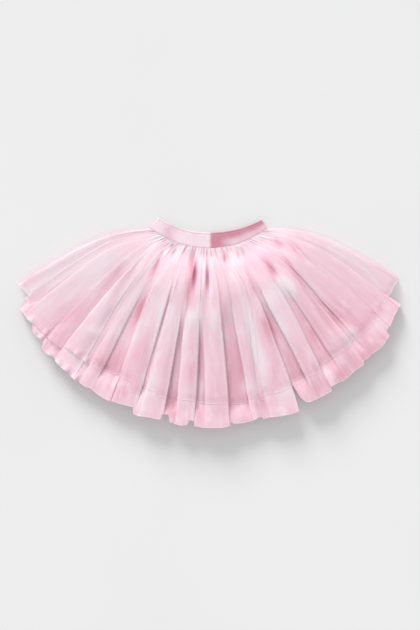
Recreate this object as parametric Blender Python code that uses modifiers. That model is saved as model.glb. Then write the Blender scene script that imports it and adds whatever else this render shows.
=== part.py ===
"""A child's gathered tulle skirt, laid flat with its front up.

Frame: +Z up, the skirt lies on the plane Z = 0, its waistband towards +Y and its hem towards -Y.
The origin is the middle of the skirt's outline, on the plane that it lies on.

The skirt fans out from a point above the waistband, so every piece is drawn in fan
coordinates: an angle from the centre line (degrees, positive towards +X), a distance from
the fan's point, and a height. A tulle layer is a tube of two gathered panels, front and back,
that lie on each other. The front panels carry the big soft folds of the table FOLDS, and the
outer front is the under front's section moved out, so the two layers nest.
"""

import math
from collections import namedtuple

import bmesh
import bpy

# --- Driving sizes, in metres and degrees
WAIST_RADIUS = 0.152  # the fan's point to the band's lower edge
WAIST_ANGLE = 38.0  # half of the fan at the waist
BAND_HEIGHT = 0.0227  # at the centre front
BAND_LEFT_HEIGHT = 0.0200  # at the side folds, where the elastic turns away
BAND_RIGHT_HEIGHT = 0.0156
BAND_WALL = 0.0018
BAND_GAP = 0.0021  # between the band's front and back
BAND_STATIONS = 18  # stretches along the band's front, and along its back
TULLE_WALL = 0.0012  # a gathered layer of several thicknesses of net
SEAM_GAP = 0.0003
WAIST_GAP = 0.0005  # from the band's edge to the middle line of a sloping wall's edge
UNDER_SHARE = 0.91  # the under layer's half angle as a share of the outer layer's
SPREAD = 0.17  # share of the length in which the gathers spring open

# --- Heights of the middle of each wall above the plane
LAYER_STEP = TULLE_WALL + SEAM_GAP
OUTER_BACK_Z = TULLE_WALL / 2
UNDER_BACK_Z = OUTER_BACK_Z + LAYER_STEP
UNDER_FRONT_SEAM_Z = UNDER_BACK_Z + LAYER_STEP
OUTER_FRONT_SEAM_Z = OUTER_BACK_Z + LAYER_STEP
BACK_CREASE = 0.0020  # how far a crease of the back panels stands up
BACK_NEST = 0.0005  # the under back's extra clearance away from the seam
VALLEY_Z = UNDER_FRONT_SEAM_Z + BACK_CREASE + BACK_NEST + 0.0002  # the front lies on the back
NEST = 0.0026  # the outer front is moved this far out from the under front
GATHER_RISE = 0.0016  # height of a small gather beside the band

# How far below the waist the rings of a panel lie. Both layers share these, so that they
# nest, and then each runs on to its own hem.
FRONT_RINGS = (0.0, 0.006, 0.018, 0.036, 0.060, 0.090, 0.130, 0.180)
BACK_RINGS = (0.0, 0.014, 0.045, 0.100, 0.180)
FAN_LENGTH = 0.240  # the length over which the shape changes, the outer layer's
# Shares of that length, from the waist down:
PUFFED = 0.16  # where the front has risen off the band's plane
BACK_FORMED = 0.20  # where the back's creases stand at their full height
FOLDS_FORMED = 0.30  # where the small gathers have run together into the big folds
FULL_RISE = 0.35  # where the folds reach their full height
UPPER = 0.37  # where the table's upper angles hold
NESTED = 0.04  # where the outer layer has its full clearance over the under layer
EDGE_SHARE = 0.78  # height of a fold's two edges, as a share of its crest's
MITRE_LIMIT = 0.30  # keeps a mitre at a very sharp turn from running away

# One row for each big fold of the front, from the left side to the right.
# Angles in degrees; rise is the crest's height in mm above the valleys; a tuck is how many
# degrees the foot lies under the fold's edge, or outside it where the number is negative;
# reaches are mm from the fan's point to the hem, on the fold and in the valley after it.
Fold = namedtuple(
    "Fold",
    "name upper_left upper_right hem_left hem_right rise tuck_left tuck_right"
    " outer_reach under_reach outer_valley under_valley",
)
FOLDS = (
    Fold("left_tip", -52.4, -49.6, -55.0, -51.6, 5, -0.2, -0.4, 364, 364, 377, 377),
    Fold("left_wing", -46.8, -39.6, -48.6, -41.4, 14, -1.2, -1.0, 388, 399, 388, 407),
    Fold("left_panel", -34.6, -30.8, -36.8, -31.0, 21, 1.6, -0.6, 387, 414, 388, 420),
    Fold("left_knife", -28.9, -25.6, -29.4, -26.2, 19, 0.8, 0.6, 389, 424, 391, 427),
    Fold("left_roll", -22.4, -15.8, -21.8, -15.9, 23, 0.4, 1.2, 393, 427, 387, 422),
    Fold("left_front", -14.2, -9.6, -14.9, -9.8, 25, 1.2, 1.1, 388, 434, 392, 424),
    Fold("centre_left", -8.4, -3.4, -7.3, -3.1, 24, 0.9, 0.9, 395, 437, 398, 429),
    Fold("centre", -2.4, 4.0, -0.9, 4.4, 25, 1.0, 1.0, 398, 439, 400, 431),
    Fold("centre_narrow", 8.2, 14.0, 9.2, 11.5, 19, 0.2, 0.2, 395, 432, 402, 432),
    Fold("right_front", 15.9, 18.4, 12.7, 19.5, 22, 0.3, 1.4, 396, 435, 381, 385),
    Fold("right_tongue", 20.2, 26.2, 21.6, 27.1, 24, 0.6, 1.6, 390, 430, 384, 421),
    Fold("right_panel", 28.4, 33.2, 29.8, 35.0, 20, -0.8, 1.4, 382, 419, 379, 413),
    Fold("right_roll", 36.2, 42.4, 37.6, 44.0, 18, -0.8, 0.8, 379, 411, 374, 397),
    Fold("right_wing", 44.6, 49.0, 46.0, 50.6, 13, -0.6, -0.6, 374, 393, 370, 372),
    Fold("right_tip", 51.2, 53.4, 53.2, 56.0, 5, -0.4, -0.2, 364, 364, 362, 362),
)
SIDE_LEFT, SIDE_RIGHT = -55.8, 56.8  # the outer layer's sides at the hem
COLUMNS_PER_FOLD = 5

# The back panels' hem: distance from the fan's point, in mm, at some angles of the hem.
BackHem = namedtuple("BackHem", "angle outer_reach under_reach")
BACK_HEM = (
    BackHem(-55.8, 364, 368),
    BackHem(-51.0, 372, 378),
    BackHem(-42.0, 376, 392),
    BackHem(-28.0, 378, 408),
    BackHem(-14.0, 380, 414),
    BackHem(0.0, 388, 422),
    BackHem(12.0, 384, 418),
    BackHem(17.0, 376, 396),
    BackHem(20.0, 368, 374),
    BackHem(23.0, 370, 396),
    BackHem(32.0, 368, 402),
    BackHem(43.0, 366, 388),
    BackHem(51.0, 365, 371),
    BackHem(56.8, 362, 366),
)
BACK_PLEATS = 14  # pressed pleats of the back, each with one narrow standing crease
CREASE_STEPS = ((0.42, 0), (0.5, 1), (0.58, 0), (1.0, 0))  # place in a pleat, 1 at the top

TULLE_PINK = (0.89, 0.60, 0.69, 1.0)
LINING_PINK = (0.86, 0.52, 0.62, 1.0)
SATIN_PINK = (0.87, 0.56, 0.66, 1.0)


def smooth(low, high, value):
    """A smooth step from 0 at low to 1 at high."""
    share = min(1.0, max(0.0, (value - low) / (high - low)))
    return share * share * (3 - 2 * share)


def mixed(a, b, share):
    return a + (b - a) * share


def fan_opening(share):
    """How far the fan has opened from the waist's angle, 0, to the hem's, 1."""
    return (1 - math.exp(-share / SPREAD)) / (1 - math.exp(-1 / SPREAD))


def fold_columns(fold):
    """The five section points of a fold: foot, edge, crest, edge, foot, as
    (upper angle, hem angle, height above the valleys in metres)."""
    crest = fold.rise / 1000
    edge = crest * EDGE_SHARE
    upper_middle = (fold.upper_left + fold.upper_right) / 2
    hem_middle = (fold.hem_left + fold.hem_right) / 2
    return (
        (fold.upper_left + fold.tuck_left, fold.hem_left + fold.tuck_left, 0.0),
        (fold.upper_left, fold.hem_left, edge),
        (upper_middle, hem_middle, crest),
        (fold.upper_right, fold.hem_right, edge),
        (fold.upper_right - fold.tuck_right, fold.hem_right - fold.tuck_right, 0.0),
    )


def reaches(index, layer):
    """The hem distance of a fold's five columns: its feet lie back in the valleys."""
    fold = FOLDS[index]
    before = FOLDS[max(0, index - 1)]
    own = getattr(fold, layer + "_reach")
    left = getattr(before, layer + "_valley") if index else own
    right = getattr(fold, layer + "_valley")
    return [reach / 1000 for reach in (left, own, own, own, right)]


def sides(share):
    """The angles of the outer layer's two sides at a share of the fan's length. They
    spring out just below the waistband."""
    opening = fan_opening(share)
    return mixed(-WAIST_ANGLE, SIDE_LEFT, opening), mixed(WAIST_ANGLE, SIDE_RIGHT, opening)


def place_between(angle, left, right):
    return (angle - left) / (right - left)


UPPER_SIDES = sides(UPPER)
HEM_SIDES = sides(1.0)


def front_section(share):
    """The under front's section over all the folds: (angle, height) pairs."""
    columns = [column for fold in FOLDS for column in fold_columns(fold)]
    left, right = sides(share)
    to_folds = smooth(0.0, FOLDS_FORMED, share)
    to_hem = smooth(UPPER - PUFFED, 1.0, share)
    puff = smooth(-0.02, PUFFED, share)
    section = []
    for index, (upper, hem, height) in enumerate(columns):
        gathered = (index + 1) / (len(columns) + 1)
        folded = mixed(place_between(upper, *UPPER_SIDES), place_between(hem, *HEM_SIDES), to_hem)
        angle = mixed(left, right, mixed(gathered, folded, to_folds))
        low = mixed(UNDER_FRONT_SEAM_Z, VALLEY_Z, puff)
        rise = height * smooth(-0.05, FULL_RISE, share) * puff
        gather = GATHER_RISE * (index % 2) * (1 - to_folds) * smooth(0.0, 0.06, share)
        section.append((angle, low + rise + gather))
    return section


def moved_out(section, radius, distance):
    """The section's points moved out square to it, mitred where it turns."""
    flat = [(math.radians(angle) * radius, height) for angle, height in section]
    normals = []
    for (x0, z0), (x1, z1) in zip(flat, flat[1:]):
        length = math.hypot(x1 - x0, z1 - z0)
        normals.append((-(z1 - z0) / length, (x1 - x0) / length))
    moved = []
    for index, (x, z) in enumerate(flat):
        before = normals[max(0, index - 1)]
        after = normals[min(len(normals) - 1, index)]
        mitre = distance / max(MITRE_LIMIT, 1 + before[0] * after[0] + before[1] * after[1])
        x += (before[0] + after[0]) * mitre
        z += (before[1] + after[1]) * mitre
        moved.append((math.degrees(x / radius), z))
    return moved


def fan_point(angle, distance, height):
    """A point from its fan coordinates, with the fan's point at the origin."""
    turned = math.radians(angle)
    return (distance * math.sin(turned), -distance * math.cos(turned), height)


def ring_distances(rings, outer_reach, under_reach=None):
    """How far from the fan's point a column crosses each ring, on to the outer hem, and on
    to the under hem where there is one."""
    start = WAIST_RADIUS + WAIST_GAP
    distances = [start + ring for ring in rings]
    distances += [mixed(distances[-1], outer_reach, 0.5), outer_reach]
    return distances if under_reach is None else distances + [under_reach]


def fan_share(distance):
    """The share of the fan's length at a distance from the fan's point."""
    return max(0.0, (distance - WAIST_RADIUS - WAIST_GAP) / FAN_LENGTH)


def front_rings(first, last, under, seam_z, side_share):
    """A front panel through the folds first to last, and down to its own sides. The outer
    one is the under one's section moved out."""
    indices = range(first, last + 1)
    outer = [far for index in indices for far in reaches(index, "outer")]
    own = [far for index in indices for far in reaches(index, "under")] if under else outer
    offset = first * COLUMNS_PER_FOLD
    distances = [
        ring_distances(FRONT_RINGS, far, own_far if under else None)
        for far, own_far in zip(outer, own)
    ]
    for ring in range(len(distances[0])):
        points = []
        for column, column_distances in enumerate(distances):
            distance = column_distances[ring]
            share = fan_share(distance)
            section = front_section(share)
            if not under:
                step = mixed(LAYER_STEP, NEST, smooth(0.0, NESTED, share))
                section = moved_out(section, distance, step)
            angle, height = section[offset + column]
            points.append(fan_point(angle, distance, height))
        ends = []
        for column, place in ((0, (1 - side_share) / 2), (-1, (1 + side_share) / 2)):
            distance = distances[column][ring]
            share = fan_share(distance)
            nest = BACK_NEST * smooth(0.0, BACK_FORMED, share)
            ends.append(fan_point(mixed(*sides(share), place), distance, seam_z + nest))
        yield [ends[0]] + points + [ends[1]]


def back_reach(angle, column):
    """The back's hem distance at an angle, between the rows of BACK_HEM."""
    for low, high in zip(BACK_HEM, BACK_HEM[1:]):
        if angle <= high.angle:
            share = (angle - low.angle) / (high.angle - low.angle)
            return mixed(getattr(low, column), getattr(high, column), share) / 1000
    return getattr(BACK_HEM[-1], column) / 1000


def back_columns(pleats, share_of_fan):
    """A back panel's columns, as (share of the outer fan, 1 at a crease's top): flat pleats
    with narrow standing creases between them, at the same places in both layers."""
    columns = [((1 - share_of_fan) / 2, 0)]
    for pleat in pleats:
        for step, up in CREASE_STEPS:
            columns.append(((pleat + step) / BACK_PLEATS, up))
    columns[-1] = ((1 + share_of_fan) / 2, 0)
    return columns


def back_rings(height, nest, columns, under):
    """A back panel through its columns, from the waist to the hem."""
    distances = []
    for place, _ in columns:
        hem_angle = mixed(SIDE_LEFT, SIDE_RIGHT, place)
        outer = back_reach(hem_angle, "outer_reach")
        own = back_reach(hem_angle, "under_reach") if under else None
        distances.append(ring_distances(BACK_RINGS, outer, own))
    for ring in range(len(distances[0])):
        points = []
        for (place, up), column_distances in zip(columns, distances):
            distance = column_distances[ring]
            share = fan_share(distance)
            lift = (up * BACK_CREASE + nest) * smooth(0.0, BACK_FORMED, share)
            points.append(fan_point(mixed(*sides(share), place), distance, height + lift))
        yield points


def band_rings():
    """The band's loops, from its lower edge to its upper one. Each runs along the front,
    round a side fold, along the back and round the other side fold."""
    turn = (BAND_WALL + BAND_GAP) / 2
    middle = BAND_WALL / 2 + turn
    loop = []
    for side in (1, -1):
        for step in range(BAND_STATIONS + 1):
            angle = side * mixed(-WAIST_ANGLE, WAIST_ANGLE, step / BAND_STATIONS)
            loop.append((angle, 0.0, middle + side * turn))
        for quarter in (45, 90, 135):
            around = math.radians(quarter)
            out = turn * math.sin(around)
            loop.append((side * WAIST_ANGLE, side * out, middle + side * turn * math.cos(around)))
    for rise in (0.0, 0.5, 1.0):
        ring = []
        for angle, out, height in loop:
            end_height = BAND_LEFT_HEIGHT if angle < 0 else BAND_RIGHT_HEIGHT
            tall = mixed(BAND_HEIGHT, end_height, (angle / WAIST_ANGLE) ** 2)
            distance = WAIST_RADIUS - rise * tall
            x, y, z = fan_point(angle, distance, height)
            turned = math.radians(angle)
            ring.append((x + out * math.cos(turned), y + out * math.sin(turned), z))
        yield ring


def end_edge(edge, columns):
    """True for an edge along the first or the last column of a grid."""
    a, b = (vert.index % columns for vert in edge.verts)
    return a == b and a in (0, columns - 1)


def cloth_mesh(name, rings, closed=False):
    """A surface through the rings of points, facing up, as a grid with its far ends joined
    where it is closed."""
    rings = list(rings)
    columns = len(rings[0])
    bm = bmesh.new()
    bmesh.ops.create_grid(bm, x_segments=columns - 1, y_segments=len(rings) - 1, size=1)
    bm.verts.ensure_lookup_table()
    for row, ring in enumerate(reversed(rings)):
        for column, point in enumerate(ring):
            bm.verts[row * columns + column].co = point
    if closed:
        bmesh.ops.bridge_loops(bm, edges=[e for e in bm.edges if end_edge(e, columns)])
    bmesh.ops.recalc_face_normals(bm, faces=bm.faces)
    if sum(face.normal.z for face in bm.faces[: columns - 1]) < 0 and not closed:
        bmesh.ops.reverse_faces(bm, faces=bm.faces)
    mesh = bpy.data.meshes.new(name)
    bm.to_mesh(mesh)
    bm.free()
    return mesh


def material(name, colour, roughness):
    made = bpy.data.materials.new(name)
    made.use_nodes = True
    shader = made.node_tree.nodes["Principled BSDF"]
    shader.inputs["Base Color"].default_value = colour
    shader.inputs["Roughness"].default_value = roughness
    shader.inputs["Metallic"].default_value = 0.0
    made.diffuse_color = colour
    return made


def cloth_piece(name, mesh, wall, cloth, collection):
    """A piece of cloth: the surface with its wall."""
    piece = bpy.data.objects.new(name, mesh)
    collection.objects.link(piece)
    mesh.materials.append(cloth)
    mesh.shade_smooth()
    solid = piece.modifiers.new("wall", "SOLIDIFY")
    solid.thickness = wall
    solid.offset = 0.0
    solid.use_even_offset = True
    return piece


def centre_outline(pieces):
    """Moves every mesh so that the outline's middle is at the origin."""
    xs = [v.co.x for piece in pieces for v in piece.data.vertices]
    ys = [v.co.y for piece in pieces for v in piece.data.vertices]
    middle_x = (min(xs) + max(xs)) / 2
    middle_y = (min(ys) + max(ys)) / 2
    for piece in pieces:
        for v in piece.data.vertices:
            v.co.x -= middle_x
            v.co.y -= middle_y


def main():
    for obj in list(bpy.data.objects):
        bpy.data.objects.remove(obj)
    collection = bpy.data.collections.new("tulle_skirt")
    bpy.context.scene.collection.children.link(collection)

    tulle = material("outer_tulle", TULLE_PINK, 0.55)
    lining = material("under_tulle", LINING_PINK, 0.5)
    satin = material("satin_band", SATIN_PINK, 0.35)

    pieces = [
        cloth_piece(
            "waistband", cloth_mesh("waistband", band_rings(), True), BAND_WALL, satin, collection
        )
    ]
    last = len(FOLDS) - 1
    outer_columns = back_columns(range(BACK_PLEATS), 1.0)
    under_columns = back_columns(range(1, BACK_PLEATS - 1), UNDER_SHARE)
    panels = (
        ("outer_front", front_rings(0, last, False, OUTER_FRONT_SEAM_Z, 1.0), tulle),
        (
            "under_front",
            front_rings(1, last - 1, True, UNDER_FRONT_SEAM_Z, UNDER_SHARE),
            lining,
        ),
        ("under_back", back_rings(UNDER_BACK_Z, BACK_NEST, under_columns, True), lining),
        ("outer_back", back_rings(OUTER_BACK_Z, 0.0, outer_columns, False), tulle),
    )
    for name, rings, cloth in panels:
        mesh = cloth_mesh(name, rings)
        pieces.append(cloth_piece(name, mesh, TULLE_WALL, cloth, collection))
    centre_outline(pieces)


main()
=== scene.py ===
"""Looks of a child's gathered tulle skirt, laid flat on a pale floor."""

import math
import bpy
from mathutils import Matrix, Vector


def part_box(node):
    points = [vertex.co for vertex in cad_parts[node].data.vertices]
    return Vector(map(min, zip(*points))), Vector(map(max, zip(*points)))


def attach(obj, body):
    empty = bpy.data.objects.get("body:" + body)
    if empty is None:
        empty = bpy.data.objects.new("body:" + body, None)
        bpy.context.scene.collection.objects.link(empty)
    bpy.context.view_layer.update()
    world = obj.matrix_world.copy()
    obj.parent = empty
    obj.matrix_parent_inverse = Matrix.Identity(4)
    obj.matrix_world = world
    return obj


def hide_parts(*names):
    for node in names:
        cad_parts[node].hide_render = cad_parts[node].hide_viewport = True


bl_info = {
    "name": "Tulle skirt",
    "version": (1, 0, 0),
    "blender": (4, 5, 0),
    "location": "View3D > Sidebar > Skirt",
    "description": "Models a gathered two-layer tulle skirt laid flat on a pale floor",
    "category": "Object",
}

from collections import namedtuple

import bmesh
import bpy
import numpy as np
from mathutils import Matrix

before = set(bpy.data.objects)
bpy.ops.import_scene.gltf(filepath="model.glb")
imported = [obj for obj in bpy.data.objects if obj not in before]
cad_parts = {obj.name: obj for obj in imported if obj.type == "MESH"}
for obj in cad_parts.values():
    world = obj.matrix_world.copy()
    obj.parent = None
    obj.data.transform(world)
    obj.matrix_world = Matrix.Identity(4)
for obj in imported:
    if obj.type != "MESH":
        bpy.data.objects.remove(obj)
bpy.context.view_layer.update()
BAND_LOW, BAND_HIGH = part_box("waistband")

MM = 0.001
FULL_TURN = 6.28

# Each kind of chance has its own seed, so that one can change without the others.
SEEDS = {
    "gathers": 7,
    "wrinkles": 8,
    "broad": 9,
    "outer_hem": 10,
    "under_hem": 11,
    "curls": 12,
    "back": 16,
}

# One row for each big fold of the front, from the left side to the right, close to the solids'
# own. Angles in degrees from the fan's centre line; rise is the crest's height in mm above the
# valleys; a tuck is how many degrees the foot lies under the fold's edge, or outside it where
# the number is negative; the reach is mm from the fan's point to the outer layer's hem, on
# the fold and in the valley after it. That valley opens at a share of the length, and its
# depth is a share of the fold's height. The edge is the height of the fold's sides beside
# its crest: near 1 for a flat, crisp fold, and low for a round one.
Fold = namedtuple(
    "Fold",
    "name upper_left upper_right hem_left hem_right rise tuck_left tuck_right"
    " reach valley_reach opens depth edge",
)
FOLDS = (
    Fold("left_tip", -52.4, -49.6, -55.0, -51.6, 8, -0.2, -0.4, 370, 376, 0.40, 0.03, 0.70),
    Fold("left_wing", -46.8, -39.6, -48.6, -41.4, 13, -1.2, -1.0, 392, 392, 0.28, 0.20, 0.74),
    Fold("left_panel", -34.6, -30.8, -36.8, -31.0, 16, 1.6, -0.6, 387, 388, 0.30, 0.06, 0.84),
    Fold("left_knife", -28.9, -25.6, -29.4, -26.2, 16, 0.8, 0.6, 389, 386, 0.40, 0.20, 0.86),
    Fold("left_roll", -22.4, -15.8, -21.8, -15.9, 21, 0.4, 1.2, 393, 390, 0.30, 0.14, 0.84),
    Fold("left_front", -14.2, -9.6, -14.9, -9.8, 23, 1.2, 1.1, 390, 394, 0.52, 0.27, 0.90),
    Fold("centre_left", -8.4, -3.4, -7.3, -3.1, 24, 0.9, 0.9, 396, 398, 0.56, 0.24, 0.90),
    Fold("centre", -2.4, 4.0, -0.9, 4.4, 25, 1.0, 1.0, 399, 400, 0.44, 0.21, 0.88),
    Fold("centre_narrow", 8.2, 14.0, 9.2, 11.5, 18, 0.2, 0.2, 396, 402, 0.45, 0.04, 0.80),
    Fold("right_front", 15.9, 18.4, 12.7, 19.5, 22, 0.3, 1.0, 396, 388, 0.40, 0.23, 0.86),
    Fold("right_tongue", 20.6, 27.0, 23.2, 27.4, 23, 1.0, 0.8, 392, 384, 0.38, 0.16, 0.88),
    Fold("right_panel", 29.6, 34.2, 31.2, 36.7, 20, -1.6, 1.2, 382, 379, 0.20, 0.14, 0.84),
    Fold("right_roll", 36.2, 42.4, 38.6, 44.0, 18, -1.0, -1.0, 379, 376, 0.45, 0.03, 0.80),
    Fold("right_wing", 44.6, 49.0, 46.0, 50.6, 14, -0.8, -0.6, 376, 368, 0.45, 0.05, 0.78),
    Fold("right_tip", 51.2, 53.4, 53.2, 56.0, 8, -0.4, -0.2, 366, 362, 0.40, 0.03, 0.70),
)

# The under layer's hem: angle in degrees and mm from the fan's point. Two rows at nearly the
# same angle are a step, and a short dip between two folds is a notch.
UNDER_HEM = (
    (-53.0, 372), (-50.8, 376), (-49.8, 390), (-47.5, 395), (-45.4, 393), (-45.0, 402),
    (-43.6, 404), (-41.6, 401), (-40.8, 411), (-39.4, 414), (-37.4, 409), (-36.4, 414),
    (-34.2, 418), (-32.6, 416), (-31.8, 420), (-26.7, 423), (-22.9, 428), (-19.0, 426),
    (-16.5, 423), (-16.2, 435), (-13.0, 434), (-10.25, 434), (-10.1, 424), (-8.6, 423),
    (-8.45, 436), (-6.0, 438), (-4.55, 436), (-4.4, 428), (-3.1, 429), (-2.95, 438),
    (0.5, 440), (4.6, 438), (4.75, 430), (5.2, 430), (5.35, 435), (8.0, 435), (11.4, 431),
    (11.6, 434), (15.0, 436), (19.2, 437), (19.65, 396), (20.05, 396), (20.7, 424),
    (21.6, 429), (27.2, 429), (27.4, 421), (30.6, 423), (32.8, 421), (36.1, 420),
    (36.4, 414), (40.0, 415), (44.5, 412), (44.8, 402), (47.6, 398), (50.9, 391),
    (51.3, 372), (53.0, 370),
)

# How much longer the outer layer's hem hangs than its folds' reach: angle in degrees, and mm.
# Two rows at nearly the same angle are a step.
OUTER_STEPS = (
    (-22.4, 0), (-22.0, -7), (-18.5, -8), (-18.2, 8), (-15.7, 7), (-15.3, 0), (-12.3, 0),
    (-11.9, 8), (-7.9, 8), (-7.5, 0), (-3.1, 1), (4.5, 3), (9.0, 3), (19.6, 2), (20.2, 0),
)

# Soft hollows and swells that lie across the folds, from the left side to the right: the angle
# in degrees, the distance from the band's edge in mm, the half width in degrees, the half
# length in mm, and the height in mm, which is negative for a hollow.
Swell = namedtuple("Swell", "angle below half_width half_length height")
SWELLS = (
    Swell(-40.5, 4, 3.0, 4, -1.5),
    Swell(-31.8, 187, 2.0, 7, 1.5),
    Swell(-31.2, 160, 1.4, 24, -1.4),
    Swell(-24.6, 42, 1.4, 26, -1.2),
    Swell(-21.4, 8, 0.8, 8, -3.0),
    Swell(-19.2, 17, 1.1, 7, -3.0),
    Swell(-9.4, 18, 1.5, 14, -2.5),
    Swell(-8.2, 66, 1.5, 20, -2.5),
    Swell(-6.3, 46, 0.9, 21, -5.2),
    Swell(-5.5, 112, 3.0, 18, 1.8),
    Swell(-0.7, 54, 0.6, 24, -5.0),
    Swell(1.3, 16, 1.0, 6, -1.5),
    Swell(2.0, 110, 2.6, 20, 1.8),
    Swell(8.6, 18, 0.9, 8, -2.6),
    Swell(10.3, 15, 0.5, 6, -1.6),
    Swell(16.0, 18, 0.6, 6, -2.0),
    Swell(18.2, 78, 1.2, 18, -2.5),
    Swell(19.0, 14, 0.9, 6, -2.0),
    Swell(21.5, 106, 2.6, 18, 1.6),
    Swell(28.3, 62, 1.5, 17, -2.6),
    Swell(30.3, 98, 2.4, 20, 2.6),
    Swell(36.4, 32, 2.4, 11, -3.0),
    Swell(36.5, 208, 2.4, 16, 3.0),
    Swell(42.4, 64, 0.9, 24, -2.5),
)

# Patches of deeper or paler tulle: partly where the layers lie closer or further apart, and partly
# painted shade in the hollows and pockets and painted highlights on the swells. The rows go from
# the left side to the right: the angle in degrees, the distance from the band's edge in mm, the
# half width in degrees, the half length in mm, and the tone, negative for paler.
Tint = namedtuple("Tint", "angle below half_width half_length tone")
TINTS = (
    Tint(-53.5, 150, 4.5, 120, -0.18),
    Tint(-45.0, 120, 5.5, 110, -0.10),
    Tint(-40.5, 190, 3.0, 50, 0.20),
    Tint(-38.3, 246, 1.6, 12, 0.30),
    Tint(-37.5, 110, 2.0, 60, 0.12),
    Tint(-33.6, 166, 0.6, 22, -0.14),
    Tint(-32.0, 189, 2.0, 5, -0.26),
    Tint(-31.0, 164, 1.1, 20, 0.14),
    Tint(-27.2, 226, 2.0, 14, 0.24),
    Tint(-25.0, 48, 1.1, 24, 0.60),
    Tint(-23.8, 212, 1.8, 22, 0.16),
    Tint(-23.6, 108, 1.4, 28, 0.30),
    Tint(-23.4, 126, 1.6, 26, 0.34),
    Tint(-22.0, 246, 2.0, 16, 0.14),
    Tint(-21.4, 14, 0.7, 8, 0.22),
    Tint(-19.3, 257, 2.0, 14, 0.14),
    Tint(-19.2, 17, 0.9, 8, 0.30),
    Tint(-18.6, 180, 2.2, 44, 0.16),
    Tint(-15.2, 256, 1.6, 12, -0.16),
    Tint(-13.6, 230, 1.8, 20, -0.22),
    Tint(-8.9, 22, 1.5, 17, 0.40),
    Tint(-8.6, 208, 0.9, 34, -0.16),
    Tint(-8.3, 84, 1.3, 24, 0.26),
    Tint(-8.0, 68, 1.4, 22, 0.30),
    Tint(-7.8, 268, 1.0, 14, 0.16),
    Tint(-7.6, 36, 1.3, 24, 0.40),
    Tint(-6.5, 50, 1.1, 24, 0.80),
    Tint(-6.4, 112, 1.6, 12, -0.34),
    Tint(-5.6, 234, 1.3, 16, -0.20),
    Tint(-5.0, 266, 1.4, 16, -0.12),
    Tint(-4.6, 185, 1.6, 40, 0.14),
    Tint(-4.2, 104, 1.0, 20, -0.20),
    Tint(-2.1, 266, 0.8, 14, 0.22),
    Tint(-2.0, 222, 0.8, 34, -0.30),
    Tint(-0.6, 52, 0.62, 24, 0.80),
    Tint(1.4, 112, 1.5, 14, -0.30),
    Tint(3.6, 98, 0.9, 18, -0.16),
    Tint(4.6, 92, 1.4, 26, 0.18),
    Tint(7.6, 185, 2.4, 56, 0.16),
    Tint(8.4, 228, 1.0, 10, -0.22),
    Tint(8.6, 19, 0.7, 8, 0.62),
    Tint(10.3, 16, 0.4, 6, 0.46),
    Tint(10.4, 226, 1.6, 14, -0.26),
    Tint(11.6, 34, 1.6, 14, -0.26),
    Tint(12.0, 260, 1.4, 14, 0.16),
    Tint(12.6, 52, 1.2, 14, -0.14),
    Tint(13.2, 160, 1.2, 60, -0.52),
    Tint(15.2, 190, 1.2, 22, -0.24),
    Tint(16.0, 18, 0.5, 7, 0.46),
    Tint(16.2, 264, 2.0, 16, -0.22),
    Tint(17.6, 248, 1.8, 14, -0.26),
    Tint(17.8, 138, 1.3, 22, 0.26),
    Tint(18.0, 50, 1.0, 16, 0.22),
    Tint(18.3, 80, 1.0, 16, 0.24),
    Tint(19.0, 16, 0.5, 6, 0.60),
    Tint(19.6, 148, 1.1, 28, 0.34),
    Tint(21.4, 104, 2.2, 16, -0.28),
    Tint(21.4, 196, 1.4, 26, 0.12),
    Tint(25.0, 264, 3.0, 20, 0.10),
    Tint(27.0, 48, 1.4, 14, 0.16),
    Tint(28.2, 62, 1.3, 16, 0.46),
    Tint(28.8, 180, 1.8, 34, 0.12),
    Tint(29.0, 84, 1.4, 12, -0.30),
    Tint(30.2, 96, 2.0, 14, -0.80),
    Tint(30.6, 262, 1.6, 14, 0.12),
    Tint(31.8, 160, 1.8, 60, 0.16),
    Tint(34.7, 120, 0.35, 70, 0.16),
    Tint(35.2, 140, 0.9, 56, 0.22),
    Tint(36.0, 64, 0.5, 24, 0.30),
    Tint(37.0, 256, 8.0, 22, 0.20),
    Tint(37.4, 218, 2.0, 15, -0.34),
    Tint(37.6, 31, 2.0, 11, 0.30),
    Tint(39.0, 175, 3.4, 44, 0.16),
    Tint(41.2, 52, 0.5, 18, 0.30),
    Tint(42.0, 12, 6.0, 14, -0.10),
    Tint(43.6, 232, 2.0, 10, -0.26),
    Tint(53.5, 140, 3.0, 110, -0.26),
)

# The back panels' hem: distance from the fan's point, in mm, at some angles of the hem.
BackHem = namedtuple("BackHem", "angle outer_reach under_reach")
BACK_HEM = (
    BackHem(-55.8, 364, 368),
    BackHem(-51.0, 372, 378),
    BackHem(-42.0, 376, 392),
    BackHem(-28.0, 378, 408),
    BackHem(-14.0, 380, 414),
    BackHem(0.0, 388, 422),
    BackHem(12.0, 384, 418),
    BackHem(17.0, 376, 396),
    BackHem(20.0, 368, 374),
    BackHem(23.0, 370, 396),
    BackHem(32.0, 368, 402),
    BackHem(43.0, 366, 388),
    BackHem(51.0, 365, 371),
    BackHem(56.8, 362, 366),
)

# Where the hem of the left wing curls up, in degrees.
CURLS = (-46.6, -44.3, -42.2, -40.4, -38.2, -35.6, -33.4, -30.6)

# The ranges that wrinkles are drawn from: the place across the panel, the centre and the reach
# down it, the width across it and the lean, all as shares, and the height in mm.
Wrinkles = namedtuple("Wrinkles", "middle centre reach width lean tall")
FINE_WRINKLES = Wrinkles(
    (0.01, 0.99), (0.25, 1.15), (0.10, 0.34), (0.0012, 0.0036), (-0.010, 0.010), (-0.7, 0.8)
)
BROAD_WRINKLES = Wrinkles(
    (0.02, 0.98), (0.2, 1.2), (0.10, 0.28), (0.004, 0.009), (-0.035, 0.035), (0.5, 1.5)
)

# How long the small gathers below the band may be, in mm, and the share of the spaces between
# them that sink into a pocket.
GATHER_LENGTHS = (8, 10, 13, 17, 26, 44)
POCKETS = 0.4


def length(name, description, default):
    return bpy.props.FloatProperty(
        name=name, description=description, default=default, unit="LENGTH", precision=5
    )


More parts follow.
